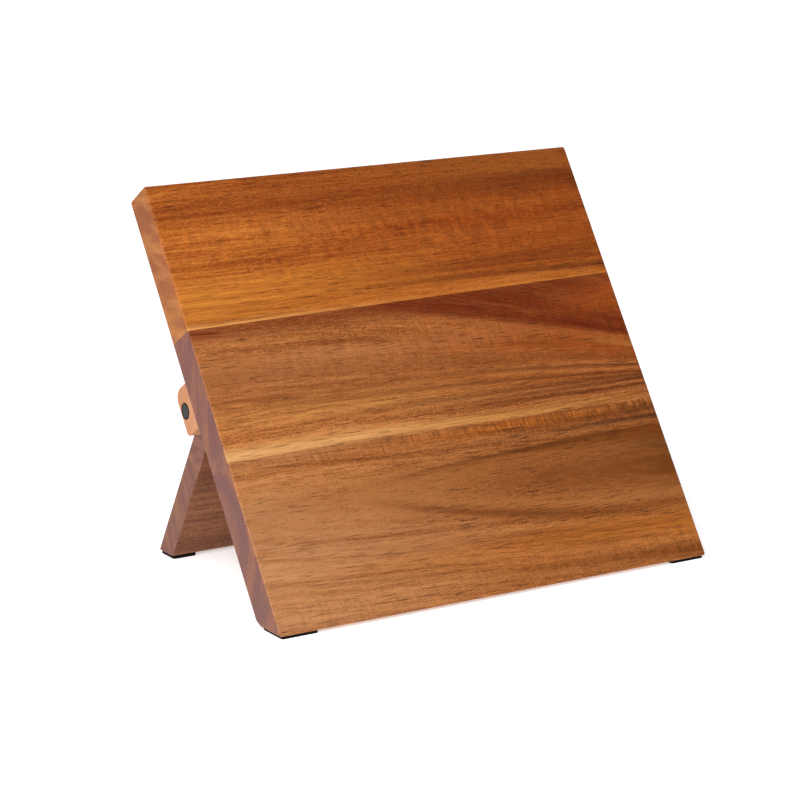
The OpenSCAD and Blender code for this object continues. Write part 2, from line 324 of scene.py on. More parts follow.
class Net:
    """A material and its node tree."""

    def __init__(self, name):
        self.material = bpy.data.materials.new(name)
        self.material.use_nodes = True
        self.tree = self.material.node_tree
        self.shader = self.tree.nodes["Principled BSDF"]

    def put(self, socket, value):
        if isinstance(value, Value):
            self.tree.links.new(value.socket, socket)
        else:
            socket.default_value = value

    def node(self, kind, **settings):
        made = self.tree.nodes.new(kind)
        for key, value in settings.items():
            setattr(made, key, value)
        return made

    def math(self, operation, a, b=0.0, c=0.0, clamp=False):
        made = self.node("ShaderNodeMath", operation=operation, use_clamp=clamp)
        for socket, value in zip(made.inputs, (a, b, c)):
            self.put(socket, value)
        return Value(self, made.outputs[0])

    def coords(self, side):
        """Millimetres along the grain, out of the back and up the board, carried by the piece."""
        source = self.node("ShaderNodeTexCoord")
        mapping = self.node("ShaderNodeMapping", vector_type="TEXTURE")
        mapping.inputs["Location"].default_value = side.origin
        mapping.inputs["Rotation"].default_value = (side.angle, 0, 0)
        mapping.inputs["Scale"].default_value = (MM,) * 3
        self.tree.links.new(source.outputs["Object"], mapping.inputs["Vector"])
        split = self.node("ShaderNodeSeparateXYZ")
        self.tree.links.new(mapping.outputs["Vector"], split.inputs["Vector"])
        return [Value(self, output) for output in split.outputs]

    def end_grain(self):
        """1 on faces that look along X, 0 elsewhere."""
        source = self.node("ShaderNodeTexCoord")
        split = self.node("ShaderNodeSeparateXYZ")
        self.tree.links.new(source.outputs["Normal"], split.inputs["Vector"])
        facing = self.math("ABSOLUTE", Value(self, split.outputs["X"]))
        return self.smooth(facing, END_STARTS, END_FULL)

    def noise(self, x, y, z, detail=2.0, roughness=0.5):
        """Smooth noise from 0 to 1 that changes about once for each step of 1 in x, y or z."""
        place = self.node("ShaderNodeCombineXYZ")
        for socket, value in zip(place.inputs, (x, y, z)):
            self.put(socket, value)
        made = self.node("ShaderNodeTexNoise", noise_dimensions="3D")
        made.inputs["Scale"].default_value = 1.0
        made.inputs["Detail"].default_value = detail
        made.inputs["Roughness"].default_value = roughness
        self.tree.links.new(place.outputs[0], made.inputs["Vector"])
        return Value(self, made.outputs["Fac"])

    def smooth(self, value, low, high):
        """0 at low, 1 at high, easing between; low may be above high."""
        made = self.node("ShaderNodeMapRange", interpolation_type="SMOOTHSTEP")
        for socket, part in zip(made.inputs, (value, low, high, 0.0, 1.0)):
            self.put(socket, part)
        return Value(self, made.outputs["Result"])

    def rescale(self, value, low, high, new_low, new_high):
        """Carries low to new_low and high to new_high, in a straight line and without end."""
        made = self.node("ShaderNodeMapRange", interpolation_type="LINEAR", clamp=False)
        for socket, part in zip(made.inputs, (value, low, high, new_low, new_high)):
            self.put(socket, part)
        return Value(self, made.outputs["Result"])

    def mix(self, share, a, b, blend="MIX"):
        """Colour a at share 0, and b laid over it at share 1."""
        made = self.node("ShaderNodeMix", data_type="RGBA", blend_type=blend)
        for socket, value in ((made.inputs[0], share), (made.inputs[6], a), (made.inputs[7], b)):
            self.put(socket, value)
        return Value(self, made.outputs[2])

    def ramp(self, value, stops):
        """The colour at a value between 0 and 1, from stops of (position, colour)."""
        made = self.node("ShaderNodeValToRGB")
        elements = made.color_ramp.elements
        while len(elements) < len(stops):
            elements.new(0.5)
        for element, (position, colour) in zip(elements, stops):
            element.position = position
            element.color = colour
        self.put(made.inputs["Fac"], value)
        return Value(self, made.outputs["Color"])

    def bump(self, height, depth, strength):
        """Makes the surface look uneven; a height of 1 stands a depth in metres above 0."""
        made = self.node("ShaderNodeBump")
        made.inputs["Strength"].default_value = strength
        made.inputs["Distance"].default_value = depth
        self.put(made.inputs["Height"], height)
        self.tree.links.new(made.outputs["Normal"], self.shader.inputs["Normal"])

    def arc(self, x, x_squared, ends):
        """A smooth value along the board, given at its left end, its middle and its right end."""
        reach = half_board / MM
        left, middle, right = ends
        bend = (left + right - 2 * middle) / (2 * reach * reach)
        slope = (right - left) / (2 * reach)
        bent = self.math("MULTIPLY_ADD", x_squared, bend, middle)
        return self.math("MULTIPLY_ADD", x, slope, bent)


# --- Wood ---------------------------------------------------------------------------------------

# the full swing of the grain's lines from straight, and of each of the two frays of a band's edge
DRIFT_MM = 4.0
RIPPLE_MM = 0.7
FRAY_MM = 3

# how much each size of grain counts in the tone, from broad streaks to specks
BROAD_SHARE = 1.1
FINE_SHARE = 0.95
THREAD_SHARE = 0.6
HAIR_SHARE = 0.9
FLECK_SHARE = 0.8
SPECK_SHARE = 1.1

# where on the tone's scale the deep, middle and light colours stand
DEEP_AT = 0.15
MIDDLE_AT = 0.5
LIGHT_AT = 0.85

BAND_FRAY = 1.6         # how much the streaks break up a band's strength
BAR_LEAN = 0.12         # how far the bars across the grain lean, for each mm up the board
BAR_WAVER_MM = 6
PORE_SHARE = 0.9
END_PORES_LOST = 0.6    # the share of the pores' strength that isn't seen on end grain
WOOD_GLOSS = 0.18
WOOD_ROUGHNESS = 0.42
WOOD_RELIEF = 0.12 * MM
WOOD_RELIEF_STRENGTH = 0.5


class Spot:
    """Where a point of the wood is: mm along the grain, out of the back, up the board, and its layer."""

    def __init__(self, net, side, layers, seed):
        self.net = net
        self.seed = seed
        self.x, self.out, self.up = net.coords(side)
        self.x_squared = self.x * self.x
        # a slow drift of the grain's lines and a ripple; the factors are repeats per mm
        drift = net.noise(self.x * 0.005 + seed, self.up * 0.012, self.out * 0.02, 1.0) - 0.5
        ripple = net.noise(self.x * 0.012 + seed, self.up * 0.05, self.out * 0.06 + 7, 2.0) - 0.5
        stray = drift * DRIFT_MM + ripple * RIPPLE_MM
        self.line = self.up + stray
        self.layer = layers(self) + stray
        self.hair = self.fibres(0.13, 1.5) - 0.5
        self.fray = self.hair * FRAY_MM + (self.fibres(0.03, 0.9) - 0.5) * FRAY_MM

    def fibres(self, along, across, detail=2.0, roughness=0.75):
        """Noise along the grain that stays at one height, with its repeats per mm."""
        return self.net.noise(
            self.x * along + self.seed, self.line * across, self.out * across, detail, roughness,
        )

    def arc(self, ends):
        return self.net.arc(self.x, self.x_squared, ends)

    def lines(self, along, across, offset, detail=2.0, roughness=0.55):
        """Noise drawn out along the grain, about 0, with its repeats per mm along and across."""
        return self.net.noise(
            self.x * along + (self.seed + offset), self.layer * across, self.out * 0.04,
            detail, roughness,
        ) - 0.5

    def band(self, place, heights, strengths, below, above):
        """A band along the board: its height and strength at left, middle and right, and its fades."""
        away = place + self.fray - self.arc(heights)
        shape = self.net.smooth(away, -below, 0.0) * self.net.smooth(away, above, 0.0)
        return self.net.math("MULTIPLY", shape, self.arc(strengths), clamp=True)


def straight_layers(climb):
    """Growth layers along the board; climb is how far they rise for each mm towards the back."""
    return lambda spot: spot.up + spot.out * climb


def closing_layers(climb, low, high):
    """Growth layers that close in on each other along the board, between two guide lines."""
    def layers(spot):
        place = spot.up + spot.out * climb
        return spot.net.rescale(place, spot.arc(low), spot.arc(high), low[1], high[1])
    return layers


def ring_layers(centre, depth):
    """Rings round a pith behind the board: its height and its depth at left, middle and right."""
    def layers(spot):
        across = spot.up - spot.arc(centre)
        deep = spot.arc(depth) - spot.out
        return spot.net.math("SQRT", across * across + deep * deep)
    return layers


class Grain:
    """The grain at a spot, from broad streaks to specks, each about 0.

    The first two numbers of each are its repeats per mm along the grain and across it.
    """

    def __init__(self, spot, density):
        self.broad = spot.lines(0.003, 0.07 * density, 0, 2.0, 0.5)
        self.fine = spot.lines(0.008, 0.33 * density, 3, 3.0, 0.65)
        self.thread = spot.lines(0.04, 1.0 * density, 5, 2.0, 0.7)
        self.hair = spot.hair
        self.fleck = spot.fibres(0.5, 0.8) - 0.5
        self.speck = spot.fibres(1.0, 2.0) - 0.5

    def tone(self, contrast):
        """The wood's tone: 0.5 in the middle, dark below it and light above."""
        streaks = self.broad * BROAD_SHARE + self.fine * FINE_SHARE + self.thread * THREAD_SHARE
        threads = streaks + self.hair * HAIR_SHARE + self.fleck * FLECK_SHARE
        return 0.5 + contrast * (threads + self.speck * SPECK_SHARE)


def add_bands(spot, grain, colour, tones, bands):
    """Lays bands of other colours along the board; streaks break them up."""
    net = spot.net
    frayed = 0.8 + grain.fine * BAND_FRAY + grain.thread * BAND_FRAY
    for tone, place, heights, strengths, below, above in bands:
        share = spot.band(getattr(spot, place), heights, strengths, below, above)
        colour = net.mix(net.math("MULTIPLY", share, frayed, clamp=True), colour, tones[tone])
    return colour


def add_figures(spot, grain, colour, figures):
    """Darkens and lightens the wood in bars across the grain, where the fibres weave."""
    net = spot.net
    for heights, strengths, below, above, rate, depth in figures:
        lean = spot.up * BAR_LEAN + grain.fine * BAR_WAVER_MM
        along = (spot.x + lean) * rate + spot.seed
        bars = net.noise(along, spot.up * 0.08, spot.out * 0.05, 3.0, 0.65) - 0.5
        zone = spot.band(spot.up, heights, strengths, below, above) * depth
        colour = net.mix(1.0, colour, 1.0 + bars * zone, "MULTIPLY")
    return colour


def add_end_grain(spot, grain, colour, tones, ends, density):
    """Colours the faces across the grain, where the layers show as soft bands of two tones."""
    net = spot.net
    rings = spot.lines(0.0, 0.085 * density, 12, 3.0, 0.6) + grain.fleck * 0.3
    end_colour = net.mix(net.smooth(rings, -0.1, 0.14), tones["end"], tones["end_light"])
    return net.mix(ends * tones["end_share"], colour, end_colour)


def wood_pores(spot, ends):
    """How strongly a pore shows: fine dashes along the grain, which are dots on the end grain."""
    dash = spot.fibres(0.055, 1.0, 3.0)
    patchy = (0.7 + spot.lines(0.01, 0.12, 9) * 2.2) * (1.0 - ends * END_PORES_LOST)
    return spot.net.smooth(dash, 0.52, 0.68) * patchy


def wood(name, side, seed, layers, tones, bands=(), figures=(), density=1.0, contrast=1.0):
    """Oiled solid wood with its grain along X.

    layers   a function that gives the growth layer at a spot
    tones    colours: deep, middle, light, pore, end, end_light, and those that the bands name;
             and end_share, the share of the end grain's own colour on the faces across the grain
    bands    (tone, "layer", "line" or "up", heights, strengths, below, above)
    figures  (heights, strengths, below, above, bars per mm, depth) of bars across the grain
    density  how closely the layers lie
    contrast how far the streaks are from the middle tone
    """
    net = Net(name)
    spot = Spot(net, side, layers, seed)
    grain = Grain(spot, density)
    colour = net.ramp(grain.tone(contrast), [
        (DEEP_AT, tones["deep"]), (MIDDLE_AT, tones["middle"]), (LIGHT_AT, tones["light"]),
    ])
    colour = add_bands(spot, grain, colour, tones, bands)
    colour = add_figures(spot, grain, colour, figures)
    ends = net.end_grain()
    colour = add_end_grain(spot, grain, colour, tones, ends, density)
    pores = wood_pores(spot, ends)
    colour = net.mix(net.math("MULTIPLY", pores, PORE_SHARE, clamp=True), colour, tones["pore"])

    net.put(net.shader.inputs["Base Color"], colour)
    rough = WOOD_ROUGHNESS + pores * 0.15 + grain.fine * 0.12 + ends * 0.12
    net.put(net.shader.inputs["Roughness"], rough)
    net.put(net.shader.inputs["Specular IOR Level"], WOOD_GLOSS)
    relief = grain.hair * 0.3 + grain.thread * 0.2 - pores * 0.6
    net.bump(relief, WOOD_RELIEF, WOOD_RELIEF_STRENGTH)
    return net.material


def shades(**colours):
    """Named colours, given as sRGB hex digits; other values pass through."""
    return {name: linear(c) if isinstance(c, str) else c for name, c in colours.items()}


TOP_TONES = shades(
    deep="742f08", middle="a0531b", light="c47430", pore="451a06",
    end="8e5230", end_light="b07240", end_share=0.7,
    dark="5c2408", red="883608", gold="cc8030", pale="dca468",
)
MIDDLE_TONES = shades(
    deep="743a14", middle="a05c2c", light="be7c44", pore="3c1a08",
    end="6f4846", end_light="8a5946", end_share=0.92,
    dark="542408", red="682206", gold="cc8c48", cream="d4a470", pale="ac6c3e", orange="9a4816",
)
BOTTOM_TONES = shades(
    deep="743e18", middle="a05e2e", light="bc7a44", pore="3c1b0a",
    end="6f4947", end_light="8c5a47", end_share=0.92,
    # pale is paler wood in two bands below, and painted sheen from a light at the left in the two broadest ones
    dark="341608", olive="6e3a12", red="8c4214", gold="b66824", pale="b88458", brown="783e10",
)

# (tone, where, heights, strengths, fade below, fade above)
# The heights and fades are in mm, up the board for "up" and "line" and on the layers' own scale
# for "layer". Three values in brackets are at the left end, the middle and the right end.
TOP_BANDS = [
    ("red", "line", (240, 240, 240), (-0.3, 0.45, 0.6), 70, 60),
    ("dark", "line", (266, 264, 262), (0.1, 0.4, 0.65), 14, 26),
    ("red", "line", (226, 226, 226), (-0.5, -0.2, 0.5), 10, 10),
    ("dark", "line", (268, 268, 266), (-0.6, -0.1, 0.7), 5, 5),
    ("dark", "line", (281, 281, 281), (-0.1, 0.3, 0.4), 8, 10),
    ("dark", "line", (249, 249, 249), (-0.5, 0.3, -0.5), 7, 7),
    ("gold", "line", (207, 212, 228), (0.75, 0.3, -0.6), 34, 22),
    ("dark", "line", (210, 211, 212), (-0.6, 0.25, 0.4), 5, 5),
    ("dark", "line", (203, 202.5, 200), (-0.5, 0.4, 1.0), 3, 4),
    ("dark", "line", (208, 208, 207), (-0.8, 0.1, 0.6), 2, 2),
    ("gold", "up", (190, 191.5, 193.8), (0.9, 0.65, 0.55), 10, 3.2),
    ("pale", "up", (190, 191, 192), (0.45, 0.1, -0.8), 6, 5),
]
MIDDLE_BANDS = [
    ("pale", "line", (160, 150, 140), (0.7, 0.2, -0.6), 40, 30),
    ("pale", "line", (165, 163, 160), (0.2, 0.9, 0.3), 9, 9),
    ("gold", "line", (132, 132, 132), (0.25, 0.3, -0.4), 16, 14),
    ("orange", "line", (165, 160, 160), (-0.6, 0.3, 1.0), 60, 60),
    ("red", "line", (188, 188, 191), (1.0, 0.6, 0.5), 13, 8),
    ("red", "layer", (202, 190, 192), (0.5, 0.95, 1.05), 16, 90),
    ("orange", "line", (190, 182, 176), (-2.6, -1.4, 1.3), 14, 16),
    ("red", "layer", (188, 187, 188), (-0.6, 0.3, 1.2), 8, 10),
    ("gold", "layer", (172, 170, 172), (-1.4, -0.8, 0.45), 7, 7),
    ("dark", "layer", (150, 151, 152), (0.3, 0.45, 0.35), 6, 9),
    ("dark", "layer", (141, 142, 143), (-0.6, 0.35, 0.9), 4, 4),
    ("dark", "layer", (134, 134, 134), (-0.1, 0.5, 1.0), 2.5, 3),
    ("dark", "layer", (125, 125, 129), (-0.6, 0.6, 0.9), 3, 5),
    ("dark", "line", (121, 121, 122), (-0.8, 0.3, 1.1), 2.5, 2.5),
    ("dark", "line", (117, 118, 118), (-0.6, 0.4, 1.0), 2.5, 2),
    ("gold", "up", (111, 110, 109), (1.0, 0.8, 0.2), 9, 6),
    ("cream", "up", (111, 110, 109), (0.7, 0.15, -0.5), 9, 6),
]
BOTTOM_BANDS = [
    # painted sheen: the next two broad pale bands are strongest at the left end and gone by the right; they paint
    # the pale pinkish haze of a light's reflection from the left into the wood's colour
    ("pale", "line", (50, 40, 30), (0.9, 0.15, -0.6), 70, 70),
    ("pale", "line", (6, 6, 6), (0.7, 0.0, -0.5), 16, 22),
    ("pale", "line", (37, 37, 37), (0.3, 0.2, -0.3), 8, 8),
    ("brown", "line", (66, 66, 60), (0.3, 0.3, 1.0), 32, 34),
    ("olive", "line", (72, 70, 66), (-0.4, 0.4, 0.8), 26, 20),
    ("gold", "line", (32, 30, 24), (-0.1, 0.4, 0.8), 22, 16),
    ("dark", "line", (72, 78, 80), (-1.2, -0.7, 0.7), 12, 10),
    ("dark", "line", (72, 84.5, 88), (-0.6, 0.6, 2.1), 3.2, 2),
    ("dark", "line", (72, 82, 83.5), (-1.2, -0.2, 0.9), 2.5, 2),
    ("brown", "line", (76, 83, 86), (0.0, 0.5, 1.1), 13, 9),
    ("dark", "line", (97, 53, 34.5), (-1.3, 0.55, -0.4), 3, 3),
    ("brown", "line", (97, 54, 38), (-0.9, 0.6, 0.3), 9, 6),
    ("red", "line", (104, 104, 103), (0.2, 0.5, 0.5), 10, 8),
    ("pale", "line", (106, 106, 106), (0.4, 0.15, -0.5), 10, 8),
    ("dark", "line", (93, 95, 95.5), (-0.8, 0.1, 1.0), 4, 2.5),
    ("gold", "up", (103, 103, 103), (-0.3, 0.4, 0.4), 5, 5),
    ("dark", "line", (100, 100, 101), (-1.2, -0.4, 0.8), 4, 8),
    ("brown", "line", (8, 10, 6), (-0.5, 0.3, 1.0), 8, 9),
]

# (heights, strengths, fade below, fade above, bars per mm, depth)
TOP_FIGURES = [
    ((240, 240, 240), (0.3, 0.6, 0.6), 50, 50, 0.22, 2.0),
]
MIDDLE_FIGURES = [
    ((165, 165, 165), (0.2, 0.5, 0.6), 40, 40, 0.28, 2.0),
]
BOTTOM_FIGURES = [
    ((103, 103, 103), (0.1, 0.7, 1.1), 9, 9, 0.5, 3.5),
    ((12, 12, 12), (0.6, 0.6, 1.1), 20, 12, 0.42, 1.5),
]


# --- Board --------------------------------------------------------------------------------------

EASE = 1.5 * MM
TOP_BACK_ROUND = 2 * MM
SLOT_PLAY = 0.1 * MM
SLOT_OVERCUT = 1.0 * MM
COVER_EASE = 0.3 * MM
COVER_END_STEPS = 16


def board_blank():
    """The whole board with its edges eased, in the part's frame."""
    planes = [
        (Vector((-half_board, 0, 0)), (-1, 0, 0)),
        (Vector((half_board, 0, 0)), (1, 0, 0)),
        cad_face("plank_middle", board_side.direction(-1, 0)),
        cad_face("plank_middle", board_side.direction(1, 0)),
        cad_face("plank_top", board_side.direction(0, 1)),
        cad_face("plank_bottom", DOWN),
        cad_face("plank_bottom", BOARD_HEEL),
    ]
    bm = solid_between(planes)
    high = span("plank_top", board_side)[1]
    top_back = board_side.matrix @ Vector((0, high.y, high.z))

    def along_top_back(edge):
        away = [v.co - top_back for v in edge.verts]
        return all(abs(a.y) < NEAR and abs(a.z) < NEAR for a in away)

    ease(bm, TOP_BACK_ROUND, along_top_back, 5)
    ease(bm, EASE, lambda edge: True)
    return bm


def joint_plane(node):
    """The plane of the glue joint above a plank: a point and the normal up across it."""
    corners = [board_side.local(v.co) for v in frame["nodes"][node].data.vertices]
    left = max(c.z for c in corners if c.x < 0)
    right = max(c.z for c in corners if c.x > 0)
    slope = Vector((2 * half_board, 0, right - left)).normalized()
    normal = Vector((-slope.z, 0, slope.x))
    turn = board_side.matrix.to_3x3()
    return board_side.matrix @ Vector((0, 0, (left + right) / 2)), turn @ normal


def slot_bar(name, node, grow=0.0, edge=0.0):
    """A round-ended bar with a slot cover's outline, in the part's frame.

    grow makes it larger all round; edge eases its back rim. Without an eased rim it is a cutter,
    and stands proud of the board's back.
    """
    low, high = span(node, board_side)
    radius = (high.z - low.z) / 2 + grow
    middle = (low.z + high.z) / 2
    straight = (high.x - low.x) / 2 + grow - radius
    outline = []
    for turn, centre in ((-90, straight), (90, -straight)):
        for k in range(COVER_END_STEPS + 1):
            a = math.radians(turn + 180 * k / COVER_END_STEPS)
            outline.append((centre + radius * math.cos(a), middle + radius * math.sin(a)))
    bm = bmesh.new()
    back = high.y if edge else high.y + SLOT_OVERCUT
    rings = [[bm.verts.new((x, y, z)) for x, z in outline] for y in (low.y - grow, back)]
    bm.faces.new(rings[0])
    bm.faces.new(reversed(rings[1]))
    count = len(outline)
    for k in range(count):
        after = (k + 1) % count
        bm.faces.new((rings[0][k], rings[1][k], rings[1][after], rings[0][after]))
    bmesh.ops.recalc_face_normals(bm, faces=bm.faces)
    if edge:
        ease(bm, edge, lambda e: all(abs(v.co.y - back) < SAME_PLACE for v in e.verts), 2)
    return finish_mesh(bm, name, board_side.matrix)


def plank_woods():
    """The materials of the top, middle and bottom planks."""
    top = wood(
        "plank_top_wood", board_side, seed=11.0, layers=straight_layers(-0.55),
        tones=TOP_TONES, bands=TOP_BANDS, figures=TOP_FIGURES,
    )
    middle = wood(
        "plank_middle_wood", board_side, seed=23.0,
        layers=closing_layers(climb=1.43, low=(118, 118, 118), high=(207, 190, 153)),
        tones=MIDDLE_TONES, bands=MIDDLE_BANDS, figures=MIDDLE_FIGURES, contrast=1.42,
    )
    bottom = wood(
        "plank_bottom_wood", board_side, seed=37.0,
        layers=ring_layers(centre=(76, 68, 60), depth=(60.2, 57.6, 56.4)),
        tones=BOTTOM_TONES, bands=BOTTOM_BANDS, figures=BOTTOM_FIGURES,
        density=1.8, contrast=1.24,
    )
    return top, middle, bottom


def make_plank(row, planes, material):
    """A plank of the board: the blank between its glue joints, with the slot for its magnets."""
    node, cover = "plank_" + row, "slot_cover_" + row
    bm = board_blank()
    for point, normal in planes:
        cut_joint(bm, point, normal)
    plank = finish_mesh(bm, node + "_wood")
    carve(plank, [slot_bar("slot_cutter", cover, grow=SLOT_PLAY)])
    settle(plank, material, "board", "board_wood_" + row, node)


def make_slot_cover(row, seed, tones):
    """The strip that closes a plank's slot, in the tones of its plank."""
    node = "slot_cover_" + row
    strip = slot_bar(node + "_wood", node, edge=COVER_EASE)
    material = wood(node + "_wood", board_side, seed, straight_layers(0.3), tones)
    settle(strip, material, "board", "cover_wood", node)


def make_planks():
    """The board's three planks and the covers of their slots."""
    lower, upper = joint_plane("plank_bottom"), joint_plane("plank_middle")
    # the same joints for the planks above them, which lie on the other side
    over_lower, over_upper = (lower[0], -lower[1]), (upper[0], -upper[1])
    top, middle, bottom = plank_woods()
    make_plank("top", [over_upper], top)
    make_slot_cover("top", 60, TOP_TONES)
    make_plank("middle", [over_lower, upper], middle)
    make_slot_cover("middle", 61, MIDDLE_TONES)
    make_plank("bottom", [lower], bottom)
    make_slot_cover("bottom", 62, BOTTOM_TONES)


make_planks()


# --- Leg ----------------------------------------------------------------------------------------

LEG_EASE = 1.2 * MM
LEG_TOP_ROUND = 3.5 * MM
LEG_FOOT_ROUND = 2.0 * MM
LEG_BORE_RADIUS = 3.05 * MM
LEG_BORE_DEPTH = 24.5 * MM
LEG_UPPER_TONES = shades(
    deep="5e2e16", middle="7c4828", light="946038", pore="301508",
    end="774d43", end_light="946250", end_share=0.9,
)
LEG_LOWER_TONES = shades(
    deep="5a2e18", middle="7c4a2a", light="96623e", pore="2c1408",
    end="774d43", end_light="8d6049", end_share=0.9,
)


def leg_blank():
    """The whole leg with its edges eased, in the part's frame."""
    low, high = "leg_plank_lower", "leg_plank_upper"
    planes = [
        (Vector((-half_leg, 0, 0)), (-1, 0, 0)),
        (Vector((half_leg, 0, 0)), (1, 0, 0)),
        cad_face(low, leg_side.direction(1, 0)),
        cad_face(low, leg_side.direction(-1, 0)),
        cad_face(high, leg_side.direction(0, 1)),
        cad_face(high, board_side.direction(-1, 0)),
        cad_face(low, DOWN),
    ]
    bm = solid_between(planes)
    outer = span(high, leg_side)[1].y
    top = span(high, leg_side)[1].z

    def along_top(edge):
        places = [leg_side.local(v.co) for v in edge.verts]
        return all(abs(p.y - outer) < NEAR / 2 and abs(p.z - top) < NEAR / 2 for p in places)

    def along_foot(edge):
        length = abs(edge.verts[0].co.x - edge.verts[1].co.x)
        return length > half_leg and all(abs(v.co.z - foot_top) < NEAR / 2 for v in edge.verts)

    ease(bm, LEG_TOP_ROUND, along_top, 6)
    ease(bm, LEG_FOOT_ROUND, along_foot, 5)
    ease(bm, LEG_EASE, lambda edge: True)
    return bm


def rod(name, radius, start, end):
    """A plain cutter: a round rod between two points."""
    start, end = Vector(start), Vector(end)
    length = (end - start).length
    piece = lathe(name, [(0, 0), (radius, 0), (radius, length), (0, length)])
    turn = (end - start).to_track_quat("Z", "Y").to_matrix().to_4x4()
    piece.data.transform(Matrix.Translation(start) @ turn)
    return piece


def bore_leg(plank):
    """Cuts the two blind bores that the pivot pins turn in."""
    pivot = Vector(hinge["pos_m"])
    cutters = []
    for side in (-1, 1):
        inner = pivot + Vector((side * (half_leg - LEG_BORE_DEPTH), 0, 0))
        outer = pivot + Vector((side * (half_leg + LEG_BORE_DEPTH), 0, 0))
        cutters.append(rod("bore_cutter", LEG_BORE_RADIUS, inner, outer))
    carve(plank, cutters)


def make_leg_plank(node, keep, tones, seed, climb):
    """A plank of the leg; keep is -1 for what is above the glue joint and 1 for what is below."""
    joint_up = span("leg_plank_lower", leg_side)[1].z
    joint_point = leg_side.matrix @ Vector((0, 0, joint_up))
    bm = leg_blank()
    cut_joint(bm, joint_point, leg_side.direction(0, 1) * keep)
    plank = finish_mesh(bm, node + "_wood")
    if node == "leg_plank_upper":
        bore_leg(plank)
    material = wood(node + "_wood", leg_side, seed, straight_layers(climb), tones)
    settle(plank, material, "leg", "leg_wood", node)


make_leg_plank("leg_plank_upper", -1, LEG_UPPER_TONES, seed=61.0, climb=0.5)
make_leg_plank("leg_plank_lower", 1, LEG_LOWER_TONES, seed=79.0, climb=-0.8)


# --- Hinge --------------------------------------------------------------------------------------

LUG_EASE = 0.7 * MM
LUG_TOP_ROUND = 7.5 * MM
LUG_BOTTOM_ROUND = 3.0 * MM
LUG_BORE_RADIUS = 3.02 * MM
CAP_PLAY = 0.08 * MM
SCREW_HEAD = 7 * MM
SCREW_RECESS_RADIUS = 3.65 * MM
SCREW_RECESS_DEPTH = 4 * MM
LUG_TONES = shades(
    deep="b07250", middle="c4845a", light="d49c72", pore="84482a",
    end="c48862", end_light="d09870", end_share=0.5,
)


def lug_blank(low, high):
    """A block with rounded rear corners and a sharp rim where it meets the board's back."""
    bm = block((low.x, low.y - OVERCUT, low.z), (high.x, high.y, high.z))

    def rear(edge, height):
        return all(
            abs(v.co.y - high.y) < SAME_PLACE and abs(v.co.z - height) < SAME_PLACE
            for v in edge.verts
        )

    ease(bm, LUG_TOP_ROUND, lambda e: rear(e, high.z), 12)
    ease(bm, LUG_BOTTOM_ROUND, lambda e: rear(e, low.z), 8)
    ease(bm, LUG_EASE, lambda e: True)
    cut(bm, Vector((0, low.y, 0)), Vector((0, -1, 0)))
    return bm


def lug_cutters(side_name, side, low, high):
    """The cutters of a lug's cap seat, pin bore and two screw recesses."""
    cap_low, cap_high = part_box("pin_cap_" + side_name)
    face_x = high.x if side > 0 else low.x
    seat_x = cap_low.x if side > 0 else cap_high.x
    cap_radius = (cap_high.z - cap_low.z) / 2 + CAP_PLAY
    x, y, z = hinge["pos_m"]
    cutters = [
        rod("seat_cutter", cap_radius, (seat_x, y, z), (face_x + side * OVERCUT, y, z)),
        rod("bore_cutter", LUG_BORE_RADIUS, (low.x - OVERCUT, y, z), (high.x + OVERCUT, y, z)),
    ]
    for place in screw_places(side_name):
        inside = board_side.matrix @ (place - Vector((0, SCREW_RECESS_DEPTH, 0)))
        outside = board_side.matrix @ (place + Vector((0, 2 * OVERCUT, 0)))
        cutters.append(rod("recess_cutter", SCREW_RECESS_RADIUS, inside, outside))
    return cutters


def make_lug(side_name, side):
    """A lug on the board's back, which holds a pivot pin; side is -1 for left and 1 for right."""
    node = "hinge_lug_" + side_name
    low, high = span(node, board_side)
    lug = finish_mesh(lug_blank(low, high), node + "_wood", board_side.matrix)
    carve(lug, lug_cutters(side_name, side, low, high))
    material = wood(node + "_wood", board_side, 90.0 + side, straight_layers(0.6), LUG_TONES)
    settle(lug, material, "board", "lug_wood", node)


def screw_places(side_name):
    """The middles of the two screw heads' tops, in the board's tilted frame."""
    low, high = span("lug_screws_" + side_name, board_side)
    middle_x = (low.x + high.x) / 2
    heights = (low.z + SCREW_HEAD / 2, high.z - SCREW_HEAD / 2)
    return [Vector((middle_x, high.y, z)) for z in heights]


# the mottling: its repeats per mm, how much lighter it gets, and how much its roughness varies
CLOUD_PER_MM = 0.3
CLOUD_LIGHTER = 1.25
CLOUD_ROUGHNESS = 0.2
GRIT_SIZE_MM = 0.6
GRIT_DEPTH = 0.05 * MM


def plain(name, colour, roughness, metallic=0.0, grit=0.3, gloss=0.5):
    """A moulded or metal surface: slight mottling in colour and roughness and a fine grit."""
    net = Net(name)
    x, out, up = net.coords(board_side)
    cloud = net.noise(x * CLOUD_PER_MM, out * CLOUD_PER_MM, up * CLOUD_PER_MM, 3.0)
    per_mm = 1 / GRIT_SIZE_MM
    grain = net.noise(x * per_mm, out * per_mm, up * per_mm, 2.0)
    light = tuple(min(1.0, c * CLOUD_LIGHTER) for c in colour[:3]) + (1.0,)
    net.put(net.shader.inputs["Base Color"], net.mix(cloud, colour, light))
    net.put(net.shader.inputs["Roughness"], roughness + (cloud - 0.5) * CLOUD_ROUGHNESS)
    net.put(net.shader.inputs["Metallic"], metallic)
    net.put(net.shader.inputs["Specular IOR Level"], gloss)
    net.bump(grain, GRIT_DEPTH, grit)
    return net.material


CAP_PLASTIC = plain("cap_plastic", linear("141616"), 0.5, gloss=0.4)
RUBBER = plain("foot_rubber", linear("0a0909"), 0.8, grit=0.6, gloss=0.1)
NYLON = plain("washer_nylon", linear("e6e3d8"), 0.4)
PIN_STEEL = plain("pin_steel", linear("b9b9bb"), 0.3, metallic=1.0, grit=0.2)
SCREW_STEEL = plain("screw_steel", linear("48484a"), 0.35, metallic=1.0, grit=0.2)
NICKEL = plain("magnet_nickel", linear("d0cec8"), 0.18, metallic=1.0, grit=0.1)

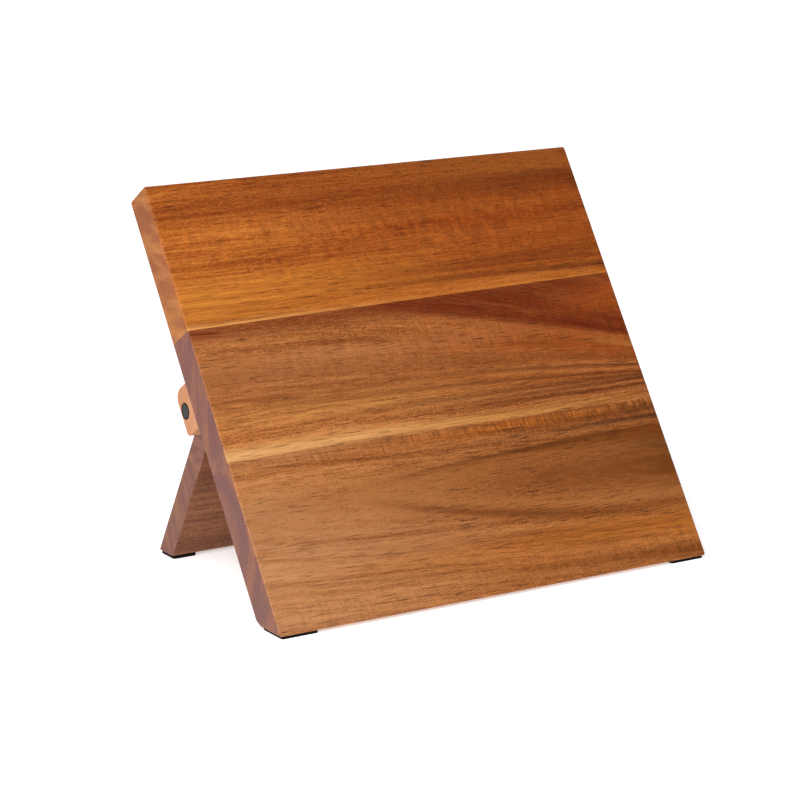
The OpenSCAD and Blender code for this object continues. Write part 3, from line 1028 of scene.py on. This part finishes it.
CAP_RIM_ROUND = 0.35 * MM
CAP_RIM_STEPS = 4
CAP_GROOVE_WIDTH = 0.55 * MM
CAP_GROOVE_DEPTH = 0.5 * MM
CAP_GROOVE_ROUND = 0.1 * MM      # how far the groove's floor rises at its two sides
CAP_FLOOR_AT = 0.4               # where the floor is lowest, as a share of the groove's width
CAP_DISC_LEAN = 0.03 * MM
CAP_DISC_EASE_DOWN = 0.12 * MM
CAP_DISC_EASE_IN = 0.15 * MM


def cap_profile(radius, thick):
    """Half the outline of a cap: a soft rim, a groove, then a flat disc with an eased edge."""
    profile = [(0, 0), (radius, 0), (radius, thick - CAP_RIM_ROUND)]
    for k in range(1, CAP_RIM_STEPS + 1):
        a = math.radians(90 * k / CAP_RIM_STEPS)
        inward = CAP_RIM_ROUND * (1 - math.cos(a))
        down = CAP_RIM_ROUND * (1 - math.sin(a))
        profile.append((radius - inward, thick - down))
    disc = radius - CAP_RIM_ROUND - CAP_GROOVE_WIDTH
    floor = thick - CAP_GROOVE_DEPTH
    # the groove's outer side, its floor and its inner side
    profile += [
        (disc + CAP_GROOVE_WIDTH, floor + CAP_GROOVE_ROUND),
        (disc + CAP_FLOOR_AT * CAP_GROOVE_WIDTH, floor),
        (disc, floor + CAP_GROOVE_ROUND),
    ]
    # the disc's edge, which leans in a little and then turns into its flat top
    profile += [
        (disc - CAP_DISC_LEAN, thick - CAP_DISC_EASE_DOWN),
        (disc - CAP_DISC_EASE_IN, thick),
        (0, thick),
    ]
    return profile


def make_cap(side_name, side):
    """The cap over a pin, turned about the pin's axis."""
    node = "pin_cap_" + side_name
    low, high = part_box(node)
    cap = lathe(node + "_plug", cap_profile((high.z - low.z) / 2, high.x - low.x))
    turn = Matrix.Rotation(math.radians(90 * side), 4, "Y")
    base = low.x if side > 0 else high.x
    place = Matrix.Translation((base, hinge["pos_m"][1], hinge["pos_m"][2]))
    cap.data.transform(place @ turn)
    settle(cap, CAP_PLASTIC, "board", "cap_plastic", node)


def dress(node, material):
    """Gives a CAD node that is shown as it is its material."""
    mesh = frame["nodes"][node].data
    mesh.materials.clear()
    mesh.materials.append(material)


FOOT_CORNER = 1.5 * MM
FOOT_EASE = 0.3 * MM


def make_foot(node, body):
    """A rubber pad with rounded corners and soft edges."""
    low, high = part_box(node)
    bm = block(low, high)

    def upright(edge):
        return abs(edge.verts[0].co.z - edge.verts[1].co.z) > (high.z - low.z) / 2

    ease(bm, FOOT_CORNER, upright, 5)
    ease(bm, FOOT_EASE, lambda e: True, 3)
    pad = finish_mesh(bm, node + "_pad")
    settle(pad, RUBBER, body, "foot_rubber", node)


for side_name, side in (("left", -1), ("right", 1)):
    make_lug(side_name, side)
    make_cap(side_name, side)
    make_foot("board_foot_" + side_name, "board")
    make_foot("leg_foot_" + side_name, "leg")
    dress("pivot_pin_" + side_name, PIN_STEEL)
    dress("hinge_washer_" + side_name, NYLON)
    dress("lug_screws_" + side_name, SCREW_STEEL)
for row in ("top", "middle", "bottom"):
    dress("magnets_" + row, NICKEL)


# --- Floor and light ----------------------------------------------------------------------------

FLOOR_RADIUS = 12
FLOOR_WHITE = 0.9
FLOOR_GLOW = 0.5
SURROUND = 0.15
SUN_DISTANCE = 5


def make_floor():
    """A matt white floor that glows a little, so that it ends up as white as the surround."""
    bm = bmesh.new()
    bmesh.ops.create_circle(bm, cap_ends=True, segments=96, radius=FLOOR_RADIUS)
    floor = finish_mesh(bm, "floor")
    net = Net("floor")
    net.put(net.shader.inputs["Base Color"], (FLOOR_WHITE, FLOOR_WHITE, FLOOR_WHITE, 1))
    net.put(net.shader.inputs["Roughness"], 0.9)
    net.put(net.shader.inputs["Specular IOR Level"], 0.0)
    net.put(net.shader.inputs["Emission Color"], (1, 1, 1, 1))
    net.put(net.shader.inputs["Emission Strength"], FLOOR_GLOW)
    floor.data.materials.append(net.material)


def place_light(name, data, position, aim):
    """Puts a light at a position, turned to its aim and unseen by the camera."""
    light = bpy.data.objects.new(name, data)
    light.location = position
    light.rotation_mode = "QUATERNION"
    light.rotation_quaternion = (Vector(aim) - Vector(position)).to_track_quat("-Z", "Y")
    light.visible_camera = False
    bpy.context.scene.collection.objects.link(light)


def make_softbox(name, position, aim, size, power):
    """A square softbox of a width in metres and a power in watts."""
    data = bpy.data.lights.new(name, "AREA")
    data.size = size
    data.energy = power
    place_light(name, data, position, aim)


def make_sky_patch(name, azimuth, elevation, spread, strength):
    """A wide, far light that reaches the whole floor evenly; angles in degrees."""
    data = bpy.data.lights.new(name, "SUN")
    data.energy = strength
    data.angle = math.radians(spread)
    a, e = math.radians(azimuth), math.radians(elevation)
    towards = Vector((math.sin(a) * math.cos(e), -math.cos(a) * math.cos(e), math.sin(e)))
    place_light(name, data, towards * SUN_DISTANCE, (0, 0, 0))


def make_world():
    """A dim white surround for the light, which the camera sees as plain white."""
    world = bpy.data.worlds.new("world")
    world.use_nodes = True
    tree = world.node_tree
    dim = tree.nodes["Background"]
    dim.inputs["Color"].default_value = (1, 1, 1, 1)
    dim.inputs["Strength"].default_value = SURROUND
    white = tree.nodes.new("ShaderNodeBackground")
    white.inputs["Color"].default_value = (1, 1, 1, 1)
    seen = tree.nodes.new("ShaderNodeLightPath")
    mix = tree.nodes.new("ShaderNodeMixShader")
    tree.links.new(seen.outputs["Is Camera Ray"], mix.inputs["Fac"])
    tree.links.new(dim.outputs["Background"], mix.inputs[1])
    tree.links.new(white.outputs["Background"], mix.inputs[2])
    tree.links.new(mix.outputs["Shader"], tree.nodes["World Output"].inputs["Surface"])
    bpy.context.scene.world = world


make_floor()
make_world()
make_sky_patch("key", azimuth=-60, elevation=50, spread=60, strength=1.5)
make_sky_patch("back_fill", azimuth=160, elevation=60, spread=90, strength=0.6)
make_softbox("left_box", position=(-0.55, -0.5, 0.55), aim=(-0.12, 0, 0.08), size=0.45, power=4.0)
bpy.context.scene.view_settings.view_transform = "Standard"
bpy.context.scene.view_settings.look = "None"
